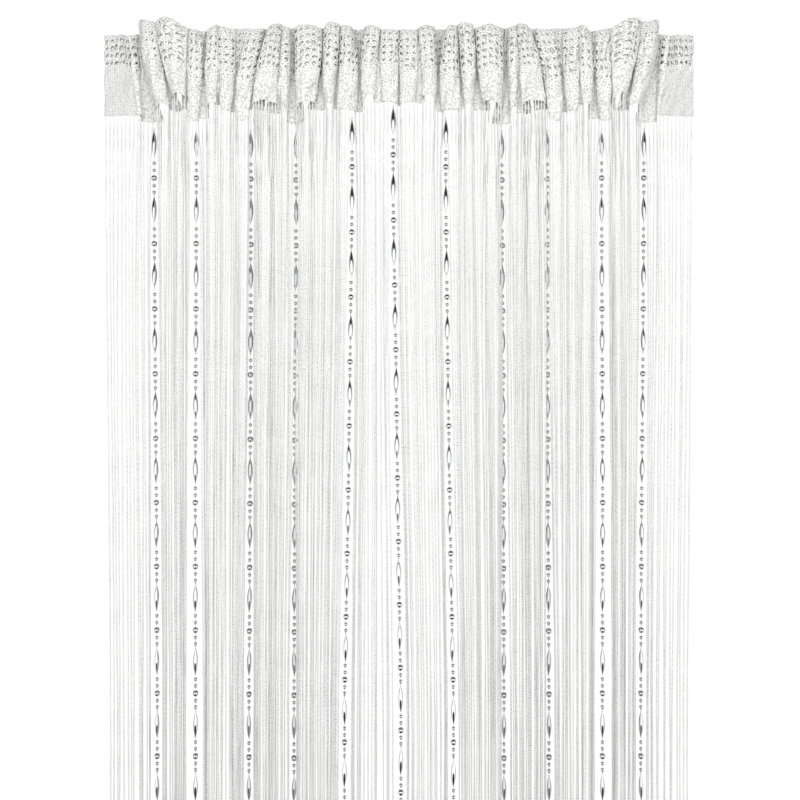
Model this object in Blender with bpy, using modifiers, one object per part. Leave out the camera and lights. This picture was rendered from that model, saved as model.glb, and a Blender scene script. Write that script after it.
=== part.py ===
"""Beaded string curtain, hung: a gathered header tape and the strings below it.

Metres, +Z up, +X to the right, the room in front at -Y. The origin is on the top edge of
the tape at the middle. The tape is flat at both ends and gathered into uneven folds
between them. Its lower margin is a narrow strip of its own that carries the strings.
"""

import math
from typing import NamedTuple

import bmesh
import bpy
import numpy as np

MM = 0.001

# Driving dimensions of the curtain
HALF_WIDTH = 309 * MM
TAPE_HEIGHT = 81 * MM
TAPE_THICKNESS = 1.0 * MM
DROP = 2.0
STRING_PITCH = 4.2 * MM
STRING_WIDTH = 1.6 * MM
STRIP_HEIGHT = 4.5 * MM
STRIP_GAP = 0.75 * MM
HEM_UNEVENNESS = 3 * MM

# Shape of a fold: how far down its sides the widest place lies, as a share of its depth
CHEEK = 0.45
# Where a valley's two corners lie, as a share of the gap between the folds beside it
VALLEY_CORNER = 0.3
# Each side of a fold is drawn in by this much, in millimetres, so that neighbours part
EASE = 0.6
# The top edge turns back by this much over the first part of the tape's height
CROWN_CURL = 4 * MM
CROWN_SHARE = 0.08
# A fold that stands out this far has the whole curl
CURLED_FORWARD = 20 * MM
# Levels of the tape from the top edge (0) to the lower edge (1)
LEVELS = (0.0, CROWN_SHARE, 0.36, 0.68, 1.0)
SPAN_SAMPLES = 24


class Fold(NamedTuple):
    """One fold of the left half, in millimetres.

    top and foot are distances of its middle from the curtain's middle, at the tape's top
    and lower edges. forward is how far it stands out in front of the flat ends, rise and
    lift how far its edges lie above those of the flat ends. The valley is the hollow on
    the fold's inner side.
    """

    top: float
    top_width: float
    foot: float
    foot_width: float
    top_forward: float
    foot_forward: float
    rise: float
    lift: float
    valley_top: float
    valley_foot: float
    valley_lift: float


# From the flat end to the middle; the right half mirrors them
FOLDS = (
    Fold(276.5, 7.0, 275.0, 5.0, 8, 3, 0.0, 0.0, 4, 1, -4.5),
    Fold(259.0, 15.0, 244.0, 13.5, 22, 27, 6.0, 5.0, 14, 13, 2.0),
    Fold(233.0, 28.5, 226.0, 12.5, 26, 30, 10.5, 15.0, 17, 17, 0.0),
    Fold(210.0, 9.5, 211.5, 11.0, 22, 26, -1.0, -13.0, 13, 12, -7.5),
    Fold(190.8, 10.0, 192.5, 10.5, 24, 27, 3.5, 5.0, 19, 20, 6.0),
    Fold(173.0, 18.5, 178.0, 11.5, 24, 27, 0.0, -3.0, 13, 14, -1.0),
    Fold(147.2, 15.0, 161.0, 15.0, 25, 28, 0.5, -13.5, 17, 19, -2.0),
    Fold(129.7, 13.0, 137.5, 25.0, 26, 31, 2.5, 6.5, 20, 18, -2.0),
    Fold(117.0, 5.0, 118.2, 6.5, 22, 24, -1.0, 4.0, 11, 12, -11.5),
    Fold(93.5, 25.0, 94.6, 22.0, 26, 30, 3.5, 6.5, 17, 15, 2.0),
    Fold(68.5, 13.0, 71.4, 9.5, 25, 28, 6.0, 5.0, 13, 16, 2.0),
    Fold(53.0, 10.5, 53.0, 19.0, 25, 30, 1.5, -3.0, 9, 13, 0.0),
    Fold(27.6, 13.0, 31.0, 13.5, 23, 28, 1.5, 14.0, 19, 18, 8.0),
    Fold(9.8, 15.0, 9.8, 15.0, 24, 27, -2.0, 6.0, 17, 18, 5.0),
)


class Drift(NamedTuple):
    """How far the strings have moved sideways at their lower ends, in millimetres."""

    place: float
    sideways: float


# place runs from the left edge (negative) to the right one, sideways is positive to the right
DRIFTS = (
    Drift(-309, 4),
    Drift(-257, 4),
    Drift(-213, -1),
    Drift(-157, -2),
    Drift(-108, -3),
    Drift(-50, -8),
    Drift(-6, 8),
    Drift(50, 8),
    Drift(108, 3),
    Drift(157, 2),
    Drift(213, 1),
    Drift(257, -4),
    Drift(309, -4),
)


def half_controls(at_foot):
    """The path's control points for the left half at one edge of the tape.

    Args:
        at_foot: whether the lower edge is wanted, and not the top edge.

    Returns:
        Rows of (distance from the middle, forward, height), from the outer end inwards,
        ending at the valley on the curtain's middle.
    """
    base = -TAPE_HEIGHT / MM if at_foot else 0.0
    end = HALF_WIDTH / MM
    flat_step = (end - FOLDS[0].top) / 3
    rows = [(end - flat_step * i, 0.0, base) for i in range(3)]
    outer_valley = 0.0
    outer_height = base
    for index, fold in enumerate(FOLDS):
        middle, half, forward, lift, valley, valley_lift = edge_sizes(fold, at_foot)
        height = base + lift
        inner_height = base + valley_lift
        outer_cheek = middle + half
        inner_cheek = middle - half
        rows.append((
            outer_cheek,
            forward - CHEEK * (forward - outer_valley),
            height + CHEEK * (outer_height - height),
        ))
        rows.append((middle, forward, height))
        rows.append((
            inner_cheek,
            forward - CHEEK * (forward - valley),
            height + CHEEK * (inner_height - height),
        ))
        if index + 1 < len(FOLDS):
            next_middle, next_half = edge_sizes(FOLDS[index + 1], at_foot)[:2]
            gap = inner_cheek - next_middle - next_half
            rows.append((inner_cheek - VALLEY_CORNER * gap, valley, inner_height))
            rows.append((inner_cheek - (1 - VALLEY_CORNER) * gap, valley, inner_height))
        else:
            rows.append((VALLEY_CORNER * inner_cheek, valley, inner_height))
        outer_valley = valley
        outer_height = inner_height
    return np.array(rows) * MM


def edge_sizes(fold, at_foot):
    """A fold's (middle, half width, forward, lift, valley forward, valley lift) at one edge."""
    if at_foot:
        half = fold.foot_width / 2 - EASE
        return fold.foot, half, fold.foot_forward, fold.lift, fold.valley_foot, fold.valley_lift
    half = fold.top_width / 2 - EASE
    return fold.top, half, fold.top_forward, fold.rise, fold.valley_top, 0.0


def controls(at_foot):
    """Control points of the whole edge from left to right, as (x, y, z) rows."""
    half = half_controls(at_foot)
    left = np.column_stack([-half[:, 0], -half[:, 1], half[:, 2]])
    right = np.column_stack([half[:, 0], -half[:, 1], half[:, 2]])[::-1]
    return np.concatenate([left, right])


def smooth_path(points, samples):
    """A centripetal Catmull-Rom curve through points, with samples steps a span."""
    ends = (2 * points[0] - points[1], 2 * points[-1] - points[-2])
    knots = np.concatenate([[ends[0]], points, [ends[1]]])
    out = []
    for span in range(len(points) - 1):
        four = knots[span:span + 4]
        times = np.concatenate([[0], np.cumsum(np.sqrt(np.linalg.norm(np.diff(four, axis=0), axis=1)))])
        at = np.linspace(times[1], times[2], samples, endpoint=False)[:, None]
        a = [
            (times[i + 1] - at) / (times[i + 1] - times[i]) * four[i]
            + (at - times[i]) / (times[i + 1] - times[i]) * four[i + 1]
            for i in range(3)
        ]
        b = [
            (times[i + 2] - at) / (times[i + 2] - times[i]) * a[i]
            + (at - times[i]) / (times[i + 2] - times[i]) * a[i + 1]
            for i in range(2)
        ]
        share = (at - times[1]) / (times[2] - times[1])
        out.append((1 - share) * b[0] + share * b[1])
    return np.concatenate(out + [points[-1:]])


class Tape:
    """The hung tape as columns, one string's pitch apart along its lower edge."""

    def __init__(self):
        top = smooth_path(controls(False), SPAN_SAMPLES)
        foot = smooth_path(controls(True), SPAN_SAMPLES)
        along = np.concatenate([[0], np.cumsum(np.linalg.norm(np.diff(foot, axis=0), axis=1))])
        self.length = float(along[-1])
        self.count = round(self.length / STRING_PITCH)
        at = np.linspace(0, self.length, self.count + 1)
        self.top = np.column_stack([np.interp(at, along, top[:, k]) for k in range(3)])
        self.foot = np.column_stack([np.interp(at, along, foot[:, k]) for k in range(3)])

    def point(self, column, level):
        """The point at a column, which may be a fraction, and a level down the tape."""
        whole = np.arange(self.count + 1)
        top = np.array([np.interp(column, whole, self.top[:, k]) for k in range(3)])
        foot = np.array([np.interp(column, whole, self.foot[:, k]) for k in range(3)])
        place = top + (foot - top) * level
        stands_out = min(1.0, -top[1] / CURLED_FORWARD)
        place[1] += CROWN_CURL * stands_out * max(0.0, 1 - level / CROWN_SHARE) ** 2
        return place

    def rim(self, column, towards_back):
        """A point of the lower edge's back (1) or front (-1) corner.

        Between two whole columns it lies on the straight line between theirs, so that what
        hangs below the tape has the tape's own section.
        """
        whole = min(int(column), self.count - 1)
        corners = []
        for end in (whole, whole + 1):
            low = self.foot[max(0, end - 1)]
            high = self.foot[min(self.count, end + 1)]
            run = (high - low)[:2] / np.linalg.norm((high - low)[:2])
            back = np.array([-run[1], run[0], 0.0])
            corners.append(self.foot[end] + back * towards_back * TAPE_THICKNESS / 2)
        return corners[0] + (corners[1] - corners[0]) * (column - whole)


def plain_material(name, colour, roughness):
    """A Principled material of one colour."""
    material = bpy.data.materials.new(name)
    material.use_nodes = True
    shader = material.node_tree.nodes["Principled BSDF"]
    shader.inputs["Base Color"].default_value = (*colour, 1.0)
    shader.inputs["Roughness"].default_value = roughness
    return material


def new_object(name, mesh_builder, collection, material):
    """Make an object from a bmesh, with its material, in the part's collection."""
    mesh = bpy.data.meshes.new(name)
    mesh_builder.to_mesh(mesh)
    mesh_builder.free()
    mesh.materials.append(material)
    made = bpy.data.objects.new(name, mesh)
    collection.objects.link(made)
    return made


def make_header(tape, collection, material):
    """The gathered tape: a grid laid on its folds, thickened by Solidify."""
    rows = len(LEVELS) - 1
    grid = bmesh.new()
    bmesh.ops.create_grid(grid, x_segments=tape.count, y_segments=rows, size=0.5)
    for vertex in grid.verts:
        column = round((vertex.co.x + 0.5) * tape.count)
        row = round((0.5 - vertex.co.y) * rows)
        vertex.co = tape.point(column, LEVELS[row])
    bmesh.ops.recalc_face_normals(grid, faces=grid.faces)
    header = new_object("header_tape", grid, collection, material)
    thicken = header.modifiers.new("Thickness", "SOLIDIFY")
    thicken.thickness = TAPE_THICKNESS
    thicken.offset = 0.0
    return header


def make_fringe(tape, collection, material):
    """The tape's lower margin with every string drawn down out of its under side."""
    pitch = tape.length / tape.count
    edges = []
    for column in range(tape.count):
        edges.append(column)
        edges.append(column + STRING_WIDTH / pitch)
    cells = len(edges) - 1
    strip = bmesh.new()
    bmesh.ops.create_grid(strip, x_segments=cells, y_segments=1, size=0.5)
    for vertex in strip.verts:
        column = edges[round((vertex.co.x + 0.5) * cells)]
        towards_back = 1 if vertex.co.y > 0 else -1
        place = tape.rim(column, towards_back)
        place[2] -= STRIP_GAP + STRIP_HEIGHT
        vertex.co = place
    strip.faces.ensure_lookup_table()
    roots = [strip.faces[2 * column] for column in range(tape.count)]
    raised = bmesh.ops.extrude_face_region(strip, geom=list(strip.faces), use_keep_orig=True)
    upper = [piece for piece in raised["geom"] if isinstance(piece, bmesh.types.BMVert)]
    bmesh.ops.translate(strip, vec=(0, 0, STRIP_HEIGHT), verts=upper)
    draw_strings(strip, roots)
    bmesh.ops.recalc_face_normals(strip, faces=strip.faces)
    return new_object("string_fringe", strip, collection, material)


def draw_strings(strip, roots):
    """Draw one string down from each root face to the curtain's uneven lower end."""
    places = [drift.place * MM for drift in DRIFTS]
    moves = [drift.sideways * MM for drift in DRIFTS]
    drawn = bmesh.ops.extrude_discrete_faces(strip, faces=roots)
    for face in drawn["faces"]:
        across = face.calc_center_median().x
        unevenness = HEM_UNEVENNESS * math.sin(across * 900) * math.cos(across * 170)
        sideways = float(np.interp(across, places, moves))
        for vertex in face.verts:
            vertex.co.x += sideways
            vertex.co.z = HEM_UNEVENNESS - DROP + unevenness


def main():
    """Build the curtain in an empty scene."""
    for old in list(bpy.data.objects):
        bpy.data.objects.remove(old, do_unlink=True)
    collection = bpy.data.collections.new("beaded_string_curtain")
    bpy.context.scene.collection.children.link(collection)
    tape = Tape()
    tape_white = plain_material("tape_white", (0.86, 0.86, 0.85), 0.8)
    string_white = plain_material("string_white", (0.9, 0.9, 0.89), 0.75)
    make_header(tape, collection, tape_white)
    make_fringe(tape, collection, string_white)


main()
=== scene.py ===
"""Beaded string curtain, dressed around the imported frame.

A gathered header tape of net with a dense band below it, a fringe of chain-stitch strings
and eleven strands of mirrored beads. Metres, +Z up, +X to the right, the room at -Y. The
origin is on the tape's top edge at the middle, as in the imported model.
"""

import logging
import math
from dataclasses import dataclass, field, replace
from enum import Enum
from typing import NamedTuple, Sequence, Union

import bpy
import numpy as np
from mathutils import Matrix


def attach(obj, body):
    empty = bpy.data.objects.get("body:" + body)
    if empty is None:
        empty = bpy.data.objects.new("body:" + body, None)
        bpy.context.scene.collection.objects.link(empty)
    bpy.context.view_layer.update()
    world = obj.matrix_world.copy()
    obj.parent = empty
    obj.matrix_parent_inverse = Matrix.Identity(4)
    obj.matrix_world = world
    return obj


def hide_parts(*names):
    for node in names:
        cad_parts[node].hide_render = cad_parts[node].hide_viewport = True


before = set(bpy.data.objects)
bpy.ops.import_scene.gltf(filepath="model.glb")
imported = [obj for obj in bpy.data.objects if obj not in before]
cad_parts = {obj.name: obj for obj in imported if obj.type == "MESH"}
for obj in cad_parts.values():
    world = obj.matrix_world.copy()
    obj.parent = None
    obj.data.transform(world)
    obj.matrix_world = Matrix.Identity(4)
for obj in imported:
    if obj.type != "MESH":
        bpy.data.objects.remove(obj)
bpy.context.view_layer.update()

LOG = logging.getLogger("curtain")
MM = 0.001
# A full turn in the puckers' and bends' waves, in radians
TURN = 6.28
TINY = 1e-9
FLAT_MAP = "flat"
Array = np.ndarray
Tree = bpy.types.NodeTree
Node = bpy.types.Node
Operand = Union[float, bpy.types.NodeSocket]


class Side(Enum):
    """Which line along the tape a path belongs to."""

    TOP = "top"
    WAIST = "waist"
    FOOT = "foot"


class Fold(NamedTuple):
    """One fold of the left half, in millimetres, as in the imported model.

    top and foot are its distances from the middle at the tape's upper and lower edge, each
    with the fold's width and how far it stands out there. lift is how much higher than the
    flat ends' its hem hangs. The last three values are the same for the valley inside it.
    """

    top: float
    top_width: float
    foot: float
    foot_width: float
    top_forward: float
    foot_forward: float
    lift: float
    valley_top: float
    valley_foot: float
    valley_lift: float


# From the flat end to the middle; the right half mirrors them
FOLDS = (
    Fold(281.0, 7.0, 271.5, 5.0, 7, 6, 0.0, 2, 0, -4.5),
    Fold(259.5, 17.0, 243.5, 14.5, 22, 27, 5.0, 10, 14, 2.0),
    Fold(233.5, 31.0, 225.5, 14.0, 26, 30, 15.0, 20, 18, 1.0),
    Fold(210.0, 9.5, 212.0, 12.5, 22, 26, -13.0, 12, 17, -7.5),
    Fold(190.8, 10.0, 192.5, 11.0, 24, 27, 5.0, 15, 19, 6.0),
    Fold(178.0, 13.0, 178.0, 11.5, 24, 27, -3.0, 14, 16, -1.0),
    Fold(149.0, 15.0, 161.0, 15.0, 18, 28, -14.0, 9, 20, 0.0),
    Fold(127.5, 11.0, 137.5, 25.0, 26, 31, 6.5, 18, 18, -2.0),
    Fold(117.0, 6.0, 118.2, 7.5, 22, 24, 4.0, 11, 16, -11.5),
    Fold(93.5, 25.0, 95.6, 20.0, 26, 30, 6.5, 13, 16, 2.0),
    Fold(68.5, 13.0, 71.4, 9.5, 25, 28, 5.0, 14, 18, 2.0),
    Fold(53.0, 10.5, 53.5, 20.0, 25, 30, -3.0, 3, 15, 0.0),
    Fold(27.6, 13.0, 31.0, 13.5, 23, 28, 14.0, 15, 20, 8.0),
    Fold(9.8, 15.0, 9.8, 15.0, 24, 27, 6.0, 13, 17, 5.0),
)


class Crown(NamedTuple):
    """A fold's upper edge: how far its peak stands outwards, and heights, in millimetres.

    tuck is the share of its half width that the valleys beside it reach behind its foot,
    sway is how far it leans outwards half way down, and fill is how far the valley inside
    it comes forward there. net and mesh are how open the net's holes are on the fold and
    in the valley inside it. loose is how much further down than its holes the fold's open
    knit goes.
    """

    peak: float
    outer: float
    middle: float
    inner: float
    valley: float
    tuck: float
    sway: float
    fill: float
    net: float
    mesh: float
    loose: float


CROWNS = (
    Crown(0.0, -1.5, -2.0, -0.5, 1.0, 0.7, 0.0, -2, 1.15, 1.0, 0),
    Crown(0.0, 11.5, 8.0, 8.5, 8.0, 0.2, 3.0, -1, 0.42, 0.8, -22),
    Crown(5.0, 9.5, 9.5, -0.5, 0.5, 0.8, 1.5, 2, 1.05, 1.0, 0),
    Crown(0.0, 0.0, -1.0, -1.0, 0.5, 0.2, -1.5, 0, 0.75, 1.1, 12),
    Crown(-2.5, 0.5, 3.0, 2.5, 2.5, 0.4, 0.8, 3, 0.7, 0.8, 16),
    Crown(0.0, 2.0, 0.0, 0.5, 2.5, 0.2, -1.0, -1, 0.7, 1.1, 14),
    Crown(0.0, 2.0, 1.0, 2.5, 3.5, 0.2, 1.5, -2, 0.95, 0.9, 10),
    Crown(0.0, 3.5, 3.0, 4.0, 4.0, 0.9, 1.5, 3, 1.0, 0.9, 11),
    Crown(0.0, 3.5, 2.5, 2.5, 3.5, 0.2, -0.5, -2, 0.7, 1.1, 14),
    Crown(0.0, 2.0, 3.0, 1.0, 3.0, 0.8, -1.0, 0, 1.1, 0.9, 2),
    Crown(0.0, 5.0, 6.0, 5.0, 4.5, 0.2, 1.2, -1, 0.85, 1.35, 6),
    Crown(0.0, 3.5, 2.0, 1.5, 5.5, 0.2, -1.5, 2, 0.75, 1.6, 8),
    Crown(0.0, 5.0, 3.0, 1.5, 1.5, 0.2, 1.5, 2, 0.75, 0.9, 16),
    Crown(0.0, -0.5, -2.0, -0.5, 1.5, 0.2, 0.3, 0, 0.75, 0.9, 34),
)

# How far the strings have moved sideways lower down: (place, move) in millimetres
DRIFTS = (
    (-309, 4), (-257, 4), (-213, -1), (-157, -2), (-108, -3), (-50, -8), (-6, 8),
    (50, 8), (108, 3), (157, 2), (213, 1), (257, -4), (309, -4),
)

# How closely the strings are knitted in, by their distance in millimetres from the middle
CROWDING = (
    (0, 0.9), (25, 0.8), (50, 0.95), (92, 1.1), (120, 1.16), (146, 1.25), (175, 1.18),
    (198, 1.05), (225, 0.97), (250, 0.84), (272, 0.97),
)

# The tape's puckers: how many waves, and their ranges of waves along the tape and down it
PUCKERS = ((7, (55, 150), (5, 45)), (4, (18, 50), (6, 16)))


def table_at(at: Array, table: Sequence[tuple[float, float]]) -> Array:
    """Look places in metres up in a table.

    Args:
        at: the places.
        table: rows of a place in millimetres and a value.

    Returns:
        The values there, in line between the rows.
    """
    places, values = zip(*table)
    return np.interp(at, np.array(places) * MM, values)


def eased(share: Array) -> Array:
    """Start and stop a change from 0 to 1 gently."""
    return share * share * (3 - 2 * share)


def smooth_path(points: Array, samples: int) -> Array:
    """Run a centripetal Catmull-Rom curve through points.

    Args:
        points: rows of coordinates, in order.
        samples: steps of a span.

    Returns:
        Rows of points on the curve, from the first point to the last.
    """
    ends = (2 * points[0] - points[1], 2 * points[-1] - points[-2])
    knots = np.concatenate([[ends[0]], points, [ends[1]]])
    out = []
    for span in range(len(points) - 1):
        four = knots[span:span + 4]
        steps = np.sqrt(np.linalg.norm(np.diff(four, axis=0), axis=1))
        times = np.concatenate([[0], np.cumsum(steps)])
        at = np.linspace(times[1], times[2], samples, endpoint=False)[:, None]
        rows = list(four)
        for reach in (1, 2):
            rows = [
                (times[i + reach] - at) / (times[i + reach] - times[i]) * rows[i]
                + (at - times[i]) / (times[i + reach] - times[i]) * rows[i + 1]
                for i in range(4 - reach)
            ]
        share = (at - times[1]) / (times[2] - times[1])
        out.append((1 - share) * rows[0] + share * rows[1])
    return np.concatenate(out + [points[-1:]])


@dataclass
class GatheredPath:
    """The hung tape's surface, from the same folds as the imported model.

    A place on it is a share along the lower edge, 0 at the left, and a distance down from
    the top edge. A flat end has flat_rows control points, and a fold with the valley
    inside it has fold_rows. ease, the swells and waist_forward are in millimetres. cheek
    is the share of a fold's depth by which its sides lie behind its middle, and
    valley_corner a valley corner's share of the way from the fold beside it.
    """

    half_width: float = 309 * MM
    tape_height: float = 81 * MM
    flat_rows: int = 3
    fold_rows: int = 5
    flat_slope: float = 0.27
    ease: float = 0.6
    cheek: float = 0.45
    valley_corner: float = 0.3
    top_swell: float = 1.0
    foot_swell: float = 0.2
    waist_swell: float = 1.2
    waist_forward: float = 1.5
    crown_curl: float = 4 * MM
    crown_share: float = 0.08
    curled_forward: float = 20 * MM
    samples: int = 24
    run_step: float = 0.0005
    pucker: float = 0.95 * MM
    seed: int = 7
    length: float = field(init=False)

    def __post_init__(self) -> None:
        """Run the lines' curves, share them out along the lower edge and draw the puckers."""
        self._rails = {side: smooth_path(self.controls(side), self.samples) for side in Side}
        steps = np.linalg.norm(np.diff(self._rails[Side.FOOT][:, :2], axis=0), axis=1)
        along = np.concatenate([[0], np.cumsum(steps)])
        self.length = float(along[-1])
        self._shares = along / self.length
        folds = self.flat_rows + 1 + self.fold_rows * np.arange(len(CROWNS))
        folds *= self.samples
        valleys = folds + self.samples * self.fold_rows // 2
        places = np.column_stack([folds, valleys]).ravel()
        left = [float(self._shares[at]) for at in places]
        nets = [amount for crown in CROWNS for amount in (crown.net, crown.mesh)]
        self._net_at = left + [1 - share for share in reversed(left)]
        self._net_open = nets + nets[::-1]
        loose = [crown.loose * MM for crown in CROWNS for _ in range(2)]
        self._loose = np.array(loose + loose[::-1])
        random = np.random.default_rng(self.seed)
        self._waves = [
            (random.uniform(*across), random.uniform(*down), random.uniform(0, TURN))
            for count, across, down in PUCKERS for _ in range(count)
        ]

    def crown_reach(self, fold: Fold) -> float:
        """How far a fold's upper edge reaches to either side, in millimetres."""
        return fold.top_width / 2 - self.ease + self.top_swell

    def fold_points(self, index: int, side: Side, outer_valley: tuple[float, float]) -> list:
        """Control points of one fold at one edge, without its valleys.

        Args:
            index: the fold's number.
            side: the edge.
            outer_valley: forward and height of the valley outside it.

        Returns:
            Distance from the middle, forward and height of its outer side, its middle and
            its inner side, in millimetres.
        """
        fold = FOLDS[index]
        if side is Side.TOP:
            crown = CROWNS[index]
            half = self.crown_reach(fold)
            outer_drop = self.cheek * (fold.top_forward - outer_valley[0])
            inner_drop = self.cheek * (fold.top_forward - fold.valley_top)
            return [
                (fold.top + half, fold.top_forward - outer_drop, crown.outer),
                (fold.top + crown.peak, fold.top_forward, crown.middle),
                (fold.top - half, fold.top_forward - inner_drop, crown.inner),
            ]
        half = fold.foot_width / 2 - self.ease + self.foot_swell
        base = -self.tape_height / MM
        height = base + fold.lift
        outer_drop = self.cheek * (fold.foot_forward - outer_valley[0])
        inner_drop = self.cheek * (fold.foot_forward - fold.valley_foot)
        outer_fall = self.cheek * (outer_valley[1] - height)
        inner_fall = self.cheek * (base + fold.valley_lift - height)
        return [
            (fold.foot + half, fold.foot_forward - outer_drop, height + outer_fall),
            (fold.foot, fold.foot_forward, height),
            (fold.foot - half, fold.foot_forward - inner_drop, height + inner_fall),
        ]

    def half_controls(self, side: Side) -> Array:
        """Control points of the left half along one line, from the outer end inwards.

        Args:
            side: the line.

        Returns:
            Rows of distance from the middle, forward and height, in metres. At the foot the
            valleys run on behind the folds beside them.
        """
        if side is Side.WAIST:
            return self.waist_controls()
        at_foot = side is Side.FOOT
        base = -self.tape_height / MM if at_foot else 0.0
        end = self.half_width / MM
        step = (end - FOLDS[0].top) / self.flat_rows
        slope = self.flat_slope * (FOLDS[0].foot_forward if at_foot else FOLDS[0].top_forward)
        rows = [(end - step * i, slope * i, base) for i in range(self.flat_rows)]
        valley = (0.0, base)
        for index, fold in enumerate(FOLDS):
            points = self.fold_points(index, side, valley)
            if index:
                rows.append(self.valley_corner_at(index, points, rows[-1], at_foot))
            rows.extend(points)
            if at_foot:
                valley = (fold.valley_foot, base + fold.valley_lift)
            else:
                valley = (fold.valley_top, CROWNS[index].valley)
            inner = points[-1][0]
            if index + 1 == len(FOLDS):
                place = self.valley_corner * inner
            elif at_foot:
                place = inner + CROWNS[index].tuck * (fold.foot - inner)
            else:
                following = FOLDS[index + 1]
                gap = inner - following.top - self.crown_reach(following)
                place = inner - self.valley_corner * gap
            rows.append((place, *valley))
        return np.array(rows) * MM

    def waist_controls(self) -> Array:
        """Control points half way down, where each fold swells and leans its own way.

        Returns:
            Rows of distance from the middle, forward and height, in metres.
        """
        rows = (self.half_controls(Side.TOP) + self.half_controls(Side.FOOT)) / 2
        for index, crown in enumerate(CROWNS):
            outer = self.flat_rows + index * self.fold_rows
            middle, inner = outer + 1, outer + 2
            rows[outer:inner + 1, 0] += crown.sway * MM
            rows[outer, 0] += self.waist_swell * MM
            rows[middle, 1] += self.waist_forward * MM
            rows[inner, 0] -= self.waist_swell * MM
            rows[inner + 1:outer + self.fold_rows, 1] += crown.fill * MM
        return rows

    def valley_corner_at(
        self, index: int, points: list, corner: tuple, at_foot: bool
    ) -> tuple[float, float, float]:
        """A valley's second corner, beside or behind the fold that follows it.

        Args:
            index: the fold's number.
            points: the fold's control points.
            corner: the valley's first corner.
            at_foot: whether this is the lower edge.

        Returns:
            The corner.
        """
        outer = points[0][0]
        if at_foot:
            place = outer - CROWNS[index].tuck * (outer - points[1][0])
        else:
            share = self.valley_corner / (1 - self.valley_corner)
            place = outer + share * (corner[0] - outer)
        return (place, corner[1], corner[2])

    def controls(self, side: Side) -> Array:
        """Control points of one whole line.

        Args:
            side: the line.

        Returns:
            Rows of x, y and z from left to right.
        """
        half = self.half_controls(side) * (1, -1, 1)
        return np.concatenate([half * (-1, 1, 1), half[::-1]])

    def net_open(self, share: float) -> float:
        """How open the net's holes are at a share along the tape."""
        return float(np.interp(share, self._net_at, self._net_open))

    def loose(self, share: Array) -> Array:
        """How much further down than its holes the open knit goes, at shares."""
        return np.interp(share, self._net_at, self._loose)

    def line_at(self, share: Array, side: Side) -> Array:
        """Points of one line at shares along the lower edge."""
        rail = self._rails[side]
        return np.column_stack([np.interp(share, self._shares, axis) for axis in rail.T])

    def place(self, share: Array, down: Array) -> Array:
        """Points on the tape's middle surface.

        Args:
            share: shares along the lower edge.
            down: distances down from the top edge, in metres.

        Returns:
            One row of x, y and z for each.
        """
        level = np.clip(down / self.tape_height, 0, 1)[:, None]
        top, waist, foot = (self.line_at(share, side) for side in Side)
        # The parabola through the three lines' points
        spot = top * (1 - level) * (1 - 2 * level) + foot * level * (2 * level - 1)
        spot += waist * 4 * level * (1 - level)
        stands_out = np.clip(-top[:, 1] / self.curled_forward, 0, 1)
        curl = np.clip(1 - level[:, 0] / self.crown_share, 0, 1) ** 2
        spot[:, 1] += self.crown_curl * stands_out * curl
        spot[:, 2] -= np.maximum(down - self.tape_height, 0)
        return spot

    def run(self, share: Array, down: Array) -> Array:
        """Level directions along the tape.

        Args:
            share: shares along the lower edge.
            down: distances down from the top edge.

        Returns:
            One row of x, y and z for each, of length 1, pointing to the right.
        """
        step = self.run_step
        run = self.place(share + step, down) - self.place(share - step, down)
        run[:, 2] = 0
        return run / np.maximum(np.linalg.norm(run, axis=1), TINY)[:, None]

    def lay(self, share: Array, down: Array, back: Array) -> Array:
        """Points behind (positive back) or before the tape's middle surface.

        Args:
            share: shares along the lower edge.
            down: distances down from the top edge.
            back: distances towards the back, in metres.

        Returns:
            One row of x, y and z for each, with the cloth's small puckers.
        """
        run = self.run(share, down)
        towards_back = np.column_stack([-run[:, 1], run[:, 0], np.zeros(len(run))])
        wave = np.zeros(len(share))
        for across, along, phase in self._waves:
            wave += np.sin((across * share + along * down) * TURN + phase)
        wave *= self.pucker / 2 * np.clip(run[:, 0], 0, 1)
        return self.place(share, down) + towards_back * (back + wave)[:, None]


class MeshSketch:
    """Points, faces and flat places gathered before they become one mesh."""

    def __init__(self) -> None:
        """Start with nothing."""
        self.places: list[Array] = []
        self.flats: list[Array] = []
        self.faces: list[Sequence[int]] = []
        self.count = 0

    def add(self, places: Array, flats: Array, faces: Sequence[Sequence[int]]) -> None:
        """Add a set of points and the faces between them.

        Args:
            places: rows of x, y and z.
            flats: rows of the places' flat coordinates.
            faces: corners of each face, counted from this set's first point.
        """
        self.places.append(places)
        self.flats.append(flats)
        start = self.count
        self.faces.extend([[corner + start for corner in face] for face in faces])
        self.count += len(places)

    def build(self, name: str, materials: Sequence[bpy.types.Material]) -> bpy.types.Object:
        """Make the object, with smooth faces and its flat places as a UV map.

        Args:
            name: the piece's name.
            materials: its materials, in slot order.

        Returns:
            The object, which rides on the curtain's one body.
        """
        places = np.concatenate(self.places)
        flats = np.concatenate(self.flats)
        mesh = bpy.data.meshes.new(name)
        mesh.from_pydata(places.tolist(), [], self.faces)
        corners = np.empty(len(mesh.loops), dtype=np.int32)
        mesh.loops.foreach_get("vertex_index", corners)
        layer = mesh.uv_layers.new(name=FLAT_MAP)
        layer.data.foreach_set("uv", flats[corners].astype(np.float32).ravel())
        mesh.polygons.foreach_set("use_smooth", [True] * len(mesh.polygons))
        for material in materials:
            mesh.materials.append(material)
        made = bpy.data.objects.new(name, mesh)
        bpy.context.scene.collection.objects.link(made)
        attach(made, "root")
        LOG.info("%s: %d points, %d faces", name, len(places), len(self.faces))
        return made


def link(tree: Tree, source: Node, output: str, target: Node, socket: str) -> None:
    """Join one node's named output to another's named input."""
    tree.links.new(source.outputs[output], target.inputs[socket])


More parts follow.
